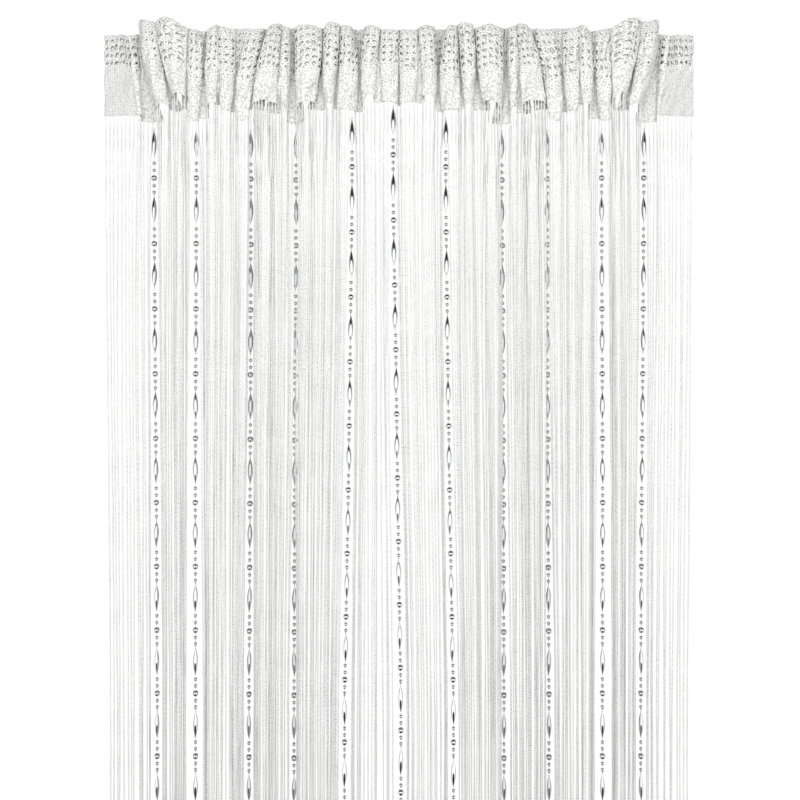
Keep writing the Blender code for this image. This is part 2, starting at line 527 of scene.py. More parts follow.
def set_node(node: Node, **settings: object) -> Node:
    """Set a node's attributes and the values of its named sockets.

    Args:
        node: the node.
        settings: attributes, or socket values under the socket's name with underscores.

    Returns:
        The node.
    """
    for key, value in settings.items():
        if hasattr(node, key):
            setattr(node, key, value)
        else:
            node.inputs[key.replace("_", " ")].default_value = value
    return node


def add_node(tree: Tree, kind: str, **settings: object) -> Node:
    """Add a node with its settings."""
    return set_node(tree.nodes.new(kind), **settings)


def math_node(tree: Tree, operation: str, *operands: Operand) -> bpy.types.NodeSocket:
    """Add a Math node.

    Args:
        tree: the node tree.
        operation: the Math node's operation.
        operands: a number or an output socket for each of its inputs.

    Returns:
        The node's output socket.
    """
    node = add_node(tree, "ShaderNodeMath", operation=operation)
    for socket, operand in zip(node.inputs, operands):
        if isinstance(operand, (int, float)):
            socket.default_value = operand
        else:
            tree.links.new(operand, socket)
    return node.outputs[0]


def ramp_node(tree: Tree, *stops: tuple[float, Union[float, tuple]]) -> Node:
    """Add a Color Ramp.

    Args:
        tree: the node tree.
        stops: positions in order, each with a grey or a colour.

    Returns:
        The node.
    """
    node = tree.nodes.new("ShaderNodeValToRGB")
    elements = node.color_ramp.elements
    colours = [(*(tone if isinstance(tone, tuple) else (tone,) * 3), 1) for _, tone in stops]
    for end in (0, -1):
        elements[end].position = stops[end][0]
        elements[end].color = colours[end]
    for (position, _), colour in zip(stops[1:-1], colours[1:-1]):
        elements.new(position).color = colour
    return node


def new_material(name: str, **values: object) -> tuple[bpy.types.Material, Tree, Node]:
    """Start a material.

    Args:
        name: its name.
        values: its shader's values under the sockets' names with underscores.

    Returns:
        The material, its node tree and its shader.
    """
    material = bpy.data.materials.new(name)
    material.use_nodes = True
    tree = material.node_tree
    return material, tree, set_node(tree.nodes["Principled BSDF"], **values)


def add_bump(
    tree: Tree, height: bpy.types.NodeSocket, shader: Node, strength: float, depth: float
) -> None:
    """Let a height raise a shader's surface.

    Args:
        tree: the node tree.
        height: the height's socket.
        shader: the shader.
        strength: how much of it shows.
        depth: how deep it is, in metres.
    """
    bump = add_node(tree, "ShaderNodeBump", Strength=strength, Distance=depth)
    tree.links.new(height, bump.inputs["Height"])
    link(tree, bump, "Normal", shader, "Normal")


def new_group(name: str, takes: dict[str, float], gives: Sequence[str]) -> Tree:
    """Start a shader node group with float inputs, a vector input and float outputs.

    Args:
        name: the group's name.
        takes: its float inputs and their usual values.
        gives: its outputs.

    Returns:
        The group, with a Group Input and a Group Output.
    """
    group = bpy.data.node_groups.new(name, "ShaderNodeTree")
    group.interface.new_socket("Place", in_out="INPUT", socket_type="NodeSocketVector")
    for title, value in takes.items():
        made = group.interface.new_socket(title, in_out="INPUT", socket_type="NodeSocketFloat")
        made.default_value = value
    for title in gives:
        group.interface.new_socket(title, in_out="OUTPUT", socket_type="NodeSocketFloat")
    group.nodes.new("NodeGroupInput")
    group.nodes.new("NodeGroupOutput")
    return group


@dataclass(frozen=True)
class KnittedYarn:
    """The knitted yarn's effect: chevrons of stitches, loops, patches and loose fibres.

    It is one node group for every yarn finish. Scales count to the metre, and the other
    values are shares of a finish's relief or of its step from dark to light. The shade is
    lighter and darker across each stitch, darker between the loops and in the lace's gaps,
    which is painted shade, and it varies at random in patches. Painted shade also darkens
    the top edge, where the crowns turn back from the light; it sets in between two heights,
    in metres, the top edge's being 0.
    """

    fibre_scale: float = 900.0
    fibre_height: float = 0.4
    leg_lean: float = 1.2
    leg_height: float = 0.9
    half_stitch: float = 0.5
    stitch_shade: float = 0.5
    loop_scale: float = 390.0
    loop_fall: float = -2.3
    loop_top: float = 1.35
    rim_fall: float = -3.2
    patch_scale: float = 700.0
    patch_roughness: float = 0.8
    patch_contrast: float = 2.4
    patch_middle: float = -1.2
    # Heights, in metres, between which the painted shade at the top edge sets in
    painted_shade_top: tuple[float, float] = (-42 * MM, -3 * MM)

    def start(self) -> Tree:
        """Start the group, with the usual values of its inputs."""
        usual = {
            "Stitch Width": 2.6 * MM, "Stitch Height": 2.6 * MM, "Stray": 0.35,
            "Squeeze": 1.0, "Loose": 0.9, "Lace": 0.0, "Thinning": 0.0,
        }
        return new_group("knitted_yarn", usual, ("Height", "Shade"))

    def build(self) -> Tree:
        """Build the group.

        Returns:
            A group that takes a flat place, the stitch's width and height in metres, how far
            the fibres stray, how much of the width counts for the loops (Squeeze), how
            uneven the loops are (Loose), how far they open into lace (Lace) and how much
            painted shade darkens the upper edge, where the crowns turn back from the light.
            It gives Height and Shade.
        """
        group = self.start()
        given = group.nodes["Group Input"]
        split = group.nodes.new("ShaderNodeSeparateXYZ")
        link(group, given, "Place", split, "Vector")
        noise = add_node(group, "ShaderNodeTexNoise", Scale=self.fibre_scale, Detail=2.0)
        link(group, given, "Place", noise, "Vector")
        stray = math_node(group, "MULTIPLY", noise.outputs["Fac"], given.outputs["Stray"])
        across = math_node(group, "DIVIDE", split.outputs["X"], given.outputs["Stitch Width"])
        along = math_node(group, "DIVIDE", split.outputs["Y"], given.outputs["Stitch Height"])
        leg = math_node(group, "PINGPONG", across, self.half_stitch)
        lean = math_node(group, "MULTIPLY", leg, self.leg_lean)
        phase = math_node(group, "ADD", math_node(group, "ADD", along, lean), stray)
        stitch = math_node(group, "PINGPONG", phase, self.half_stitch)
        wale = math_node(group, "MULTIPLY", leg, self.leg_height)
        squeezed = self.squeezed(group)
        loops = self.loops(group, squeezed)
        fibres = math_node(group, "MULTIPLY", stray, self.fibre_height)
        height = math_node(group, "ADD", math_node(group, "ADD", stitch, wale), fibres)
        height = math_node(group, "ADD", height, loops)
        result = group.nodes["Group Output"]
        group.links.new(height, result.inputs["Height"])
        patches = add_node(
            group, "ShaderNodeTexNoise", Scale=self.patch_scale, Detail=2.0,
            Roughness=self.patch_roughness,
        )
        group.links.new(squeezed, patches.inputs["Vector"])
        # The shade: random patches, with painted shade between the loops and across the stitches
        contrast, middle = self.patch_contrast, self.patch_middle
        patch = math_node(group, "MULTIPLY_ADD", patches.outputs["Fac"], contrast, middle)
        patch = math_node(group, "ADD", patch, loops)
        shade = math_node(group, "MULTIPLY_ADD", stitch, self.stitch_shade, patch)
        # Painted shade at the top edge, where the crowns turn back from the light
        start, end = self.painted_shade_top
        thin = add_node(group, "ShaderNodeMapRange", From_Min=start, From_Max=end)
        link(group, split, "Y", thin, "Value")
        painted_shade_top = math_node(group, "MULTIPLY", thin.outputs["Result"], given.outputs["Thinning"])
        shade = math_node(group, "SUBTRACT", shade, painted_shade_top)
        shade.node.use_clamp = True
        group.links.new(shade, result.inputs["Shade"])
        return group

    def squeezed(self, group: Tree) -> bpy.types.NodeSocket:
        """Narrow the flat place by the group's Squeeze, for strings that are one loop wide.

        Args:
            group: the group.

        Returns:
            The narrowed place's socket.
        """
        given = group.nodes["Group Input"]
        shape = add_node(group, "ShaderNodeCombineXYZ", Y=1.0, Z=1.0)
        link(group, given, "Squeeze", shape, "X")
        narrowed = add_node(group, "ShaderNodeVectorMath", operation="MULTIPLY")
        group.links.new(given.outputs["Place"], narrowed.inputs[0])
        group.links.new(shape.outputs["Vector"], narrowed.inputs[1])
        return narrowed.outputs["Vector"]

    def loops(self, group: Tree, place: bpy.types.NodeSocket) -> bpy.types.NodeSocket:
        """The yarn's loops: raised in the middle, or with Lace only a net of yarns.

        Args:
            group: the group.
            place: the narrowed place.

        Returns:
            The loops' height, which also lightens their middles: painted shade between the loops,
            and with Lace painted shade in the gaps between the yarns.
        """
        given = group.nodes["Group Input"]
        cells = {"voronoi_dimensions": "2D", "Scale": self.loop_scale}
        middles = add_node(group, "ShaderNodeTexVoronoi", **cells)
        link(group, given, "Loose", middles, "Randomness")
        rims = add_node(group, "ShaderNodeTexVoronoi", feature="DISTANCE_TO_EDGE", **cells)
        for node in (middles, rims):
            group.links.new(place, node.inputs["Vector"])
        away, near = middles.outputs["Distance"], rims.outputs["Distance"]
        puff = math_node(group, "MULTIPLY_ADD", away, self.loop_fall, self.loop_top)
        yarns = math_node(group, "MULTIPLY_ADD", near, self.rim_fall, 1.0)
        opened = math_node(group, "SUBTRACT", yarns, puff)
        return math_node(group, "MULTIPLY_ADD", opened, given.outputs["Lace"], puff)


@dataclass(frozen=True)
class YarnFinish:
    """White yarn: knitted chevrons, loose fibres and a soft sheen."""

    name: str
    light: tuple[float, float, float]
    dark: tuple[float, float, float]
    stitch_width: float
    stitch_height: float
    stray: float
    relief: float
    relief_strength: float = 0.6
    lightest: float = 0.75
    roughness: float = 0.85
    gloss: float = 0.2
    sheen: float = 0.25
    sheen_roughness: float = 0.5
    glow: float = 0.0
    glow_depth: float = 1.2 * MM
    squeeze: float = 1.0
    loose: float = 0.9
    lace: float = 0.0
    # How much painted shade darkens the top edge, where the crowns turn back from the light
    painted_top_shade: float = 0.0

    def make(self, yarn: Tree) -> bpy.types.Material:
        """Build the material.

        Args:
            yarn: the yarn group.

        Returns:
            The material.
        """
        material, tree, shader = new_material(
            self.name, Roughness=self.roughness, Specular_IOR_Level=self.gloss,
            Sheen_Weight=self.sheen, Sheen_Roughness=self.sheen_roughness,
            Subsurface_Weight=self.glow, Subsurface_Radius=(1, 1, 1),
            Subsurface_Scale=self.glow_depth,
        )
        flat = add_node(tree, "ShaderNodeUVMap", uv_map=FLAT_MAP)
        weave = add_node(
            tree, "ShaderNodeGroup", node_tree=yarn, Stitch_Width=self.stitch_width,
            Stitch_Height=self.stitch_height, Stray=self.stray, Squeeze=self.squeeze,
            Loose=self.loose, Lace=self.lace, Thinning=self.painted_top_shade,
        )
        link(tree, flat, "UV", weave, "Place")
        # The colour follows the shade: random tone, with painted shade between the loops and
        # stitches
        colours = ramp_node(tree, (0.0, self.dark), (self.lightest, self.light))
        link(tree, weave, "Shade", colours, "Fac")
        link(tree, colours, "Color", shader, "Base Color")
        add_bump(tree, weave.outputs["Height"], shader, self.relief_strength, self.relief)
        return material


@dataclass(frozen=True)
class MirrorFinish:
    """Metallised bead: a mirror with faint rubbed spots."""

    name: str = "mirror_metal"
    colour: tuple[float, float, float] = (0.86, 0.87, 0.88)
    rubbed: float = 0.93
    spot_scale: float = 420.0
    roughness: tuple[float, float] = (0.03, 0.09)
    dent_strength: float = 0.1
    dent: float = 0.05 * MM

    def make(self) -> bpy.types.Material:
        """Build the material.

        Returns:
            The material.
        """
        material, tree, shader = new_material(self.name, Metallic=1.0)
        place = tree.nodes.new("ShaderNodeTexCoord")
        rub = add_node(tree, "ShaderNodeTexNoise", Scale=self.spot_scale, Detail=3.0)
        link(tree, place, "Object", rub, "Vector")
        smooth, rough = self.roughness
        gloss = add_node(tree, "ShaderNodeMapRange", To_Min=smooth, To_Max=rough)
        link(tree, rub, "Fac", gloss, "Value")
        link(tree, gloss, "Result", shader, "Roughness")
        worn = tuple(self.rubbed * part for part in self.colour)
        tint = ramp_node(tree, (0.0, worn), (1.0, self.colour))
        link(tree, rub, "Fac", tint, "Fac")
        link(tree, tint, "Color", shader, "Base Color")
        add_bump(tree, rub.outputs["Fac"], shader, self.dent_strength, self.dent)
        return material


@dataclass(frozen=True)
class FloorFinish:
    """Plain pale floor with a hardly visible grain."""

    name: str = "pale_floor"
    roughness: float = 0.7
    grain_scale: float = 60.0
    greys: tuple[float, float] = (0.80, 0.84)

    def make(self) -> bpy.types.Material:
        """Build the material.

        Returns:
            The material.
        """
        material, tree, shader = new_material(self.name, Roughness=self.roughness)
        grain = add_node(tree, "ShaderNodeTexNoise", Scale=self.grain_scale, Detail=4.0)
        dark, light = self.greys
        tint = ramp_node(tree, (0.0, dark), (1.0, light))
        link(tree, grain, "Fac", tint, "Fac")
        link(tree, tint, "Color", shader, "Base Color")
        return material


class Knit(Enum):
    """The tape's finishes, by their material slots."""

    BAND = 0
    FLAT_END = 1
    NET = 2


@dataclass(frozen=True)
class NetPattern:
    """How the knit and its holes vary from place to place.

    Rows count the net's rows with holes: those at the flat ends, and how many more a fold
    has, less a draw from shortfall. A place is wholly on a fold where the tape is
    folded_forward in front at probe below its top edge. Openings are shares of a hole's
    usual size. Pairs are ranges, but those of strays are along the tape and down it, in
    millimetres. crossed is the share of holes with a yarn across them.
    """

    flat_rows: float = 3.9
    folded_rows: float = 2.9
    shortfall: tuple[float, float] = (0.0, 1.3)
    shortfall_marks: int = 41
    probe: float = 30 * MM
    folded_forward: float = 14 * MM
    row_margin: float = 0.2
    opening: tuple[float, float] = (0.7, 1.2)
    first_row_opening: float = 0.78
    flat_opening: float = 1.22
    openings_kept: tuple[float, float] = (0.35, 1.35)
    end_share: float = 0.002
    lean: tuple[float, float] = (-0.2, 1.5)
    tallness: tuple[float, float] = (0.6, 1.1)
    rim_part: float = 0.45
    lip_part: float = 0.55
    crossed: float = 0.4
    hole_stray: tuple[float, float] = (0.4, 0.45)
    lattice_stray: tuple[float, float] = (0.2, 0.3)
    net_edge_stray: float = 4.0
    net_edge_marks: int = 401


@dataclass
class KnitSheet:
    """A knitted sheet laid on the gathered path, with real holes in its net rows.

    It is divided into cells, one hole wide and one row high. A cell has steps by steps
    pieces, and where it has a hole, a raised loop of yarn runs round it. span is the
    sheet's shares along the tape. above and rest are its levels above and below the net,
    with ridges in millimetres on those above. slant leans the holes outwards as they go
    down, loop is how far their yarn stands out, and mottle how uneven the knit is. A sheet
    with tape_knits takes all three of the tape's finishes.
    """

    path: GatheredPath
    columns: int
    span: tuple[float, float]
    steps: int
    row_height: float
    first_row: float
    net_rows: int
    rest: tuple[float, ...]
    hole_width: float
    hole_height: float
    slant: float
    loop: float
    seed: int
    above: tuple[float, ...] = (0.0,)
    ridges: tuple[float, ...] = ()
    mottle: float = 0.45 * MM
    setback: float = 0.15 * MM
    flat_share: float = 0.029
    tape_knits: bool = False
    pattern: NetPattern = NetPattern()

    def __post_init__(self) -> None:
        """Lay out the lattice's levels and seed the unevenness."""
        net = np.arange(self.net_rows * self.steps + 1) * self.row_height / self.steps
        self.levels = np.concatenate([self.above, net + self.first_row, self.rest])
        self.across = self.columns * self.steps
        self.random = np.random.default_rng(self.seed)
        uneven = np.random.default_rng(self.path.seed)
        self.shortfall = uneven.uniform(*self.pattern.shortfall, self.pattern.shortfall_marks)

    def share_at(self, part: Array) -> Array:
        """Shares along the tape for parts of the sheet's width, 0 at its left."""
        start, end = self.span
        return start + (end - start) * part

    def reach(self, share: float) -> float:
        """How many net rows have holes at a place: fewer at the flat ends.

        Args:
            share: the place's share along the tape.

        Returns:
            The number of rows, with a part of a row.
        """
        net = self.pattern
        stands_out = -float(self.path.place(np.array([share]), np.array([net.probe]))[0, 1])
        on_fold = min(1.0, stands_out / net.folded_forward)
        missing = self.shortfall[int(share * (net.shortfall_marks - 1))]
        return net.flat_rows + on_fold * (net.folded_rows - missing)

    def back(self, share: Array, down: Array) -> Array:
        """How far the sheet's middle lies behind the tape's middle surface."""
        return np.full(len(share), -self.setback)

    def ring(self, column: int, row: int) -> list[tuple[int, int]]:
        """Lattice places round a cell.

        Args:
            column: the cell's column.
            row: its row.

        Returns:
            Places across and down, clockwise from the cell's upper left corner.
        """
        n = self.steps
        left = column * n
        top = len(self.above) + row * n
        places = [(left + i, top) for i in range(n)]
        places += [(left + n, top + i) for i in range(n)]
        places += [(left + n - i, top + n) for i in range(n)]
        places += [(left, top + n - i) for i in range(n)]
        return places

    def build(self, name: str, materials: Sequence[bpy.types.Material]) -> bpy.types.Object:
        """Lay the lattice and its holes on the path.

        Args:
            name: the piece's name.
            materials: its materials.

        Returns:
            The sheet, thin and without thickness.
        """
        net = self.pattern
        wide = self.across + 1
        grid_across, grid_down = np.meshgrid(np.arange(wide), np.arange(len(self.levels)))
        share = self.share_at(grid_across / self.across).ravel()
        down = self.levels[grid_down].ravel()
        inside = (grid_across > 0) & (grid_across < self.across) & (grid_down > 0)
        inside = (inside & (grid_down < len(self.levels) - 1)).ravel()
        strays = [
            inside * self.random.uniform(-stray, stray, len(share)) * MM
            for stray in net.lattice_stray
        ]
        share = share + strays[0] / self.path.length
        down = down + strays[1]
        raised = inside * self.random.uniform(-1, 1, len(share)) * self.mottle
        for row, ridge in enumerate(self.ridges):
            raised[row * wide:(row + 1) * wide] = ridge * MM
        open_cells = self.hole_cells()
        faces = self.lattice_faces(open_cells)
        shares, downs, heights = [share], [down], [raised]
        count = len(share)
        for column, row in sorted(open_cells):
            rim = [down_at * wide + at for at, down_at in self.ring(column, row)]
            made = self.hole(share[rim], down[rim], open_cells[column, row])
            shares.append(made[0])
            downs.append(made[1])
            heights.append(made[2])
            faces.extend(self.hole_faces(rim, count))
            count += 2 * len(rim)
        share = np.concatenate(shares)
        down = np.concatenate(downs)
        back = self.back(share, down) - np.concatenate(heights)
        sketch = MeshSketch()
        flats = np.column_stack([share * self.path.length, -down])
        sketch.add(self.path.lay(share, down, back), flats, faces)
        made = sketch.build(name, materials)
        if self.tape_knits:
            corners = [face[0] for face in faces]
            knits = self.knits_at(share[corners], down[corners])
            made.data.polygons.foreach_set("material_index", knits)
        return made

    def lattice_faces(self, open_cells: dict[tuple[int, int], float]) -> list[tuple[int, ...]]:
        """Faces of the lattice, without those of the cells that have a hole.

        Args:
            open_cells: the cells with a hole.

        Returns:
            The faces, row by row.
        """
        wide = self.across + 1
        faces = []
        for row in range(len(self.levels) - 1):
            net_row = (row - len(self.above)) // self.steps
            for column in range(self.across):
                if (column // self.steps, net_row) in open_cells:
                    continue
                corner = row * wide + column
                faces.append((corner, corner + wide, corner + wide + 1, corner + 1))
        return faces

    def hole_faces(self, rim: list[int], count: int) -> list[tuple[int, ...]]:
        """Faces of one hole's loop and lip, and in some holes a yarn that crosses it.

        Args:
            rim: the lattice points round the hole's cell.
            count: the number of its loop's first point; its lip's points follow the loop's.

        Returns:
            The faces.
        """
        sides = len(rim)
        loop = list(range(count, count + sides))
        lip = list(range(count + sides, count + 2 * sides))
        faces = []
        for i in range(sides):
            j = (i + 1) % sides
            faces.append((rim[j], rim[i], loop[i], loop[j]))
            faces.append((loop[j], loop[i], lip[i], lip[j]))
        if self.random.random() < self.pattern.crossed and self.steps > 2:
            first = self.steps // 2
            across = 3 * self.steps - first
            faces.append((lip[first + 1], lip[first], lip[across], lip[across - 1]))
        return faces

    def knits_at(self, share: Array, down: Array) -> Array:
        """Which of the tape's finishes lies where; the net's lower edge is uneven.

        Args:
            share: shares along the tape.
            down: distances down.

        Returns:
            Their material slots.
        """
        marks = np.linspace(0, 1, self.pattern.net_edge_marks)
        rows = np.interp(share, marks, [self.reach(mark) for mark in marks])
        stray = self.pattern.net_edge_stray
        uneven = self.random.uniform(-stray, stray, len(share)) * MM
        net_edge = self.first_row + rows * self.row_height + self.path.loose(share)
        flat = np.minimum(share, 1 - share) < self.flat_share
        solid = np.where(flat, Knit.FLAT_END.value, Knit.BAND.value)
        return np.where(down < net_edge + uneven, Knit.NET.value, solid)

    def hole_cells(self) -> dict[tuple[int, int], float]:
        """Choose the cells with a hole.

        Returns:
            How wide open each is, by its column and row.
        """
        net = self.pattern
        narrowest, widest = net.openings_kept
        cells = {}
        for column in range(self.columns):
            share = self.share_at((column + 0.5) / self.columns)
            reach = self.reach(share)
            flat = min(share, 1 - share) < self.flat_share
            for row in range(self.net_rows):
                opening = min(1.0, reach - row - net.row_margin)
                opening *= self.random.uniform(*net.opening)
                opening *= net.first_row_opening if row == 0 else 1.0
                opening *= net.flat_opening if flat else self.path.net_open(share)
                if opening > narrowest and net.end_share < share < 1 - net.end_share:
                    cells[column, row] = min(opening, widest)
        return cells

    def hole(self, share: Array, down: Array, opening: float) -> tuple[Array, Array, Array]:
        """One hole's yarn loop and lip inside its cell's rim.

        Args:
            share: the rim's shares along the tape.
            down: the rim's distances down.
            opening: how wide open the hole is, about 1.

        Returns:
            Shares, distances down and raised heights: the loop's, then the lip's.
        """
        net = self.pattern
        length = self.path.length
        along, below = net.hole_stray
        middle_share = share.mean() + self.random.uniform(-along, along) * MM / length
        middle_down = down.mean() + self.random.uniform(-below, below) * MM
        out = np.column_stack([(share - middle_share) * length, down - middle_down])
        out /= np.linalg.norm(out / out.max(axis=0), axis=1)[:, None] * out.max(axis=0)
        mirrored = 1 if middle_share < 0.5 else -1
        lean = mirrored * self.slant * self.random.uniform(*net.lean)
        wide = self.hole_width / 2 * opening
        high = self.hole_height / 2 * opening * self.random.uniform(*net.tallness)
        lip_down = out[:, 1] * high
        lip_along = out[:, 0] * wide - lip_down * lean
        lip_share = middle_share + lip_along / length
        lip_down = middle_down + lip_down
        loop_share = net.rim_part * share + net.lip_part * lip_share
        loop_down = net.rim_part * down + net.lip_part * lip_down
        shares = np.concatenate([loop_share, lip_share])
        downs = np.concatenate([loop_down, lip_down])
        return shares, downs, np.repeat([self.loop, 0.0], len(share))


@dataclass
class PocketWall(KnitSheet):
    """The net's second layer, behind the first, which closes the rod pocket.

    Behind the join it swells by folded_depth, and by flat_depth more at the flat ends,
    which fades out where the tape comes forward, by flat_forward.
    """

    join: float = 0.75 * MM
    folded_depth: float = 0.9 * MM
    flat_depth: float = 1.6 * MM
    flat_forward: float = 12 * MM

    def back(self, share: Array, down: Array) -> Array:
        """How far the wall lies behind the tape: most at the pocket's middle.

        Args:
            share: shares along the tape.
            down: distances down.

        Returns:
            Distances towards the back.
        """
        forward = -self.path.place(share, down)[:, 1]
        flat = np.clip(1 - forward / self.flat_forward, 0, 1)
        depth = self.folded_depth + self.flat_depth * flat
        top, bottom = self.levels[0], self.levels[-1]
        swell = np.sin(np.pi * np.clip((down - top) / (bottom - top), 0, 1))
        return self.join + depth * swell


@dataclass
class HeaderTape:
    """The gathered tape: net in front, the pocket's wall behind it, and the dense band.

    It is made in two halves, which meet in the crease at the middle. The net's first row
    begins a little below the turned top edge, whose ridges are in millimetres.
    """

    path: GatheredPath
    hole_pitch: float = 5.6 * MM
    row_height: float = 7.8 * MM
    first_row: float = 2.2 * MM
    net_rows: int = 7
    hem: float = 84.5 * MM
    hem_edge: float = 0.2 * MM
    band_levels: int = 12
    thickness: float = 0.6 * MM
    top_levels: tuple[float, ...] = (0.0, 0.2 * MM, 0.9 * MM, 1.5 * MM)
    top_ridges: tuple[float, ...] = (0.0, 0.2, 0.35, -0.35)
    wall_above: float = 0.6 * MM
    wall_below: float = 1.6 * MM

    @property
    def columns(self) -> int:
        """How many holes a half is wide."""
        return round(self.path.length / 2 / self.hole_pitch)

    @property
    def net_end(self) -> float:
        """How far down the net's last row ends."""
        return self.first_row + self.net_rows * self.row_height

    def build(self, knits: Sequence[bpy.types.Material]) -> None:
        """Build both halves.

        Args:
            knits: the band's knit, that of the flat ends and the open net's, in the order
                of Knit.
        """
        halves = (("left", (0.0, 0.5), 11), ("right", (0.5, 1.0), 13))
        for name, span, seed in halves:
            cloth = self.finished(self.front(span, seed), f"header_{name}", knits)
            wall = self.wall(span, seed + 1)
            pocket = self.finished(wall, f"pocket_wall_{name}", knits[:1])
            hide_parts("header_tape")

    def front(self, span: tuple[float, float], seed: int) -> KnitSheet:
        """One half of the net in front, with the band below it.

        Args:
            span: its shares along the tape.
            seed: for its unevenness.

        Returns:
            The sheet.
        """
        band = np.linspace(self.net_end, self.hem, self.band_levels)[1:-1]
        return KnitSheet(
            self.path, self.columns, span, steps=4, row_height=self.row_height,
            first_row=self.first_row, net_rows=self.net_rows,
            rest=(*band, self.hem - self.hem_edge, self.hem), hole_width=3.1 * MM,
            hole_height=4.6 * MM, slant=0.5, loop=0.5 * MM, seed=seed,
            above=self.top_levels, ridges=self.top_ridges, tape_knits=True,
        )

    def wall(self, span: tuple[float, float], seed: int) -> PocketWall:
        """One half of the net's second layer, whose rows lie between those in front.

        Args:
            span: its shares along the tape.
            seed: for its unevenness.

        Returns:
            The sheet.
        """
        return PocketWall(
            self.path, self.columns, span, steps=2, row_height=self.row_height,
            first_row=self.first_row + self.row_height / 2, net_rows=self.net_rows - 1,
            rest=(self.net_end,), hole_width=1.3 * MM, hole_height=1.9 * MM, slant=0.4,
            loop=0.1 * MM, seed=seed,
            above=(self.first_row - self.wall_above, self.first_row + self.wall_below),
        )

    def finished(
        self, sheet: KnitSheet, name: str, knits: Sequence[bpy.types.Material]
    ) -> bpy.types.Object:
        """Make a sheet and give it its thickness.

        Args:
            sheet: the sheet.
            name: the piece's name.
            knits: its materials.

        Returns:
            The piece.
        """
        cloth = sheet.build(name, knits)
        solid = cloth.modifiers.new("thickness", "SOLIDIFY")
        solid.thickness = self.thickness
        solid.offset = 0.0
        return cloth


# A photo row's size on the plane of the flat ends, the row at the eye's level, the rows at
# which the strands' places were read, and the rows of a strand's repeat
PHOTO_STEP = 1.05 * MM
PHOTO_LEVEL = 440.0
STRAND_LEVELS = (200.0, 350.0, 500.0, 700.0)
REPEAT_ROWS = 66.0
# The camera's height and its distance from that plane
EYE_HEIGHT = -424.2 * MM
EYE_DISTANCE = 1.0


@dataclass(frozen=True)
class Strand:
    """One beaded strand, which takes the place of the nearest string.

    forward and across are in millimetres; across has its distances from the middle at
    STRAND_LEVELS. first and period are photo rows: the first long bead's top, and from
    there to the next one's. clear and freed are how far, in millimetres, the strings keep
    away from it near the tape and far below.
    """

    forward: float
    across: tuple[float, ...]
    first: float
    clear: float
    freed: float
    period: float = REPEAT_ROWS

    @property
    def step(self) -> float:
        """The size of one photo row on the plane in which the strand hangs."""
        return PHOTO_STEP * (1 - self.forward * MM / EYE_DISTANCE)

    def height(self, row: float) -> float:
        """The height of a photo row on the strand."""
        return EYE_HEIGHT + (PHOTO_LEVEL - row) * self.step

    def across_at(self, height: Array) -> Array:
        """Its distances from the middle at heights, in metres."""
        levels = [self.height(row) for row in reversed(STRAND_LEVELS)]
        return np.interp(height, levels, [place * MM for place in reversed(self.across)])

    def mirrored(self) -> "Strand":
        """The same strand on the right half."""
        return replace(self, across=tuple(-place for place in self.across))


LEFT_STRANDS = (
    Strand(2.4, (-256.5, -255.6, -254.2, -253.3), 131, 5.2, 7.3),
    Strand(19.5, (-208.6, -209.2, -209.7, -209.4), 131, 6.0, 9.1),
    Strand(11.0, (-153.9, -154.0, -154.7, -155.8), 132, 0.0, 4.5),
    Strand(5.0, (-107.4, -108.5, -109.0, -109.7), 133, 0.0, 4.0),
    Strand(28.8, (-47.8, -49.7, -51.8, -55.6), 120, 4.2, 5.9, 65.7),
)
MIDDLE_STRAND = Strand(26.0, (-5.9, -3.2, -1.2, 2.0), 108, 4.2, 5.9, 65.7)
STRANDS = (*LEFT_STRANDS, MIDDLE_STRAND, *(strand.mirrored() for strand in LEFT_STRANDS[::-1]))


@dataclass(frozen=True)
class StringRun:
    """How the strings hang: distances below their roots in metres, moves in millimetres.

    Each string has rings at first_rings, in millimetres, and then at rest_rings, shares of
    its length. Over evened_in the strings even out their distances, over settled_in they
    move to their places lower down, each with its own stray, and over relaxed_in they take
    on small bends: waves with so many radians to a metre, as far as bends allows to the
    side and forwards. Beside a beaded strand they keep away from it, at clear_levels, by
    nothing, clear_near of its clear, its clear and its freed, all fading out with the
    distance over clear_width. end_waves, in radians to a metre, make the ends uneven.
    """

    first_rings: tuple[float, ...] = (0, 2.5, 5, 9, 15, 25, 40, 60, 90)
    rest_rings: tuple[float, float, int] = (0.12, 1.0, 44)
    evened_in: float = 0.16
    settled_in: float = 0.7
    stray: float = 1.6
    relaxed_in: float = 0.15
    waves: tuple[float, ...] = (2.2, 5.1, 9.7)
    bends: tuple[float, float] = (0.5, 0.7)
    least_bend: float = 0.4
    clear_levels: tuple[float, ...] = (0, 0.045, 0.15, 0.55)
    clear_near: float = 0.8
    clear_width: float = 14 * MM
    end_waves: tuple[float, float] = (900.0, 170.0)


@dataclass(frozen=True)
class StringShape:
    """A string's section below its root: tables of distances in millimetres and shares.

    The width's table is drawn out for each string by a draw from taper. The turns between
    its rings, in radians, are drawn from twist, less above twisted_below, in millimetres.
    Each string has its own flat_pitch of the knitted pattern's width, shows side_share of
    it to either side, and begins it up to pattern_offset further down, in millimetres.
    """

    width: float = 1.7 * MM
    depth: float = 1.2 * MM
    sides: int = 5
    widths: tuple = ((0, 0.6), (5, 0.65), (15, 0.8), (60, 1.0))
    depths: tuple = ((0, 0.3), (2, 0.7), (6, 1.0))
    taper: tuple[float, float] = (0.7, 1.5)
    twist: tuple[float, float] = (0.1, 0.9)
    twisted_from: float = 5 * MM
    twisted_over: float = 30 * MM
    flat_pitch: float = 10 * MM
    side_share: float = 0.25
    pattern_offset: float = 50.0


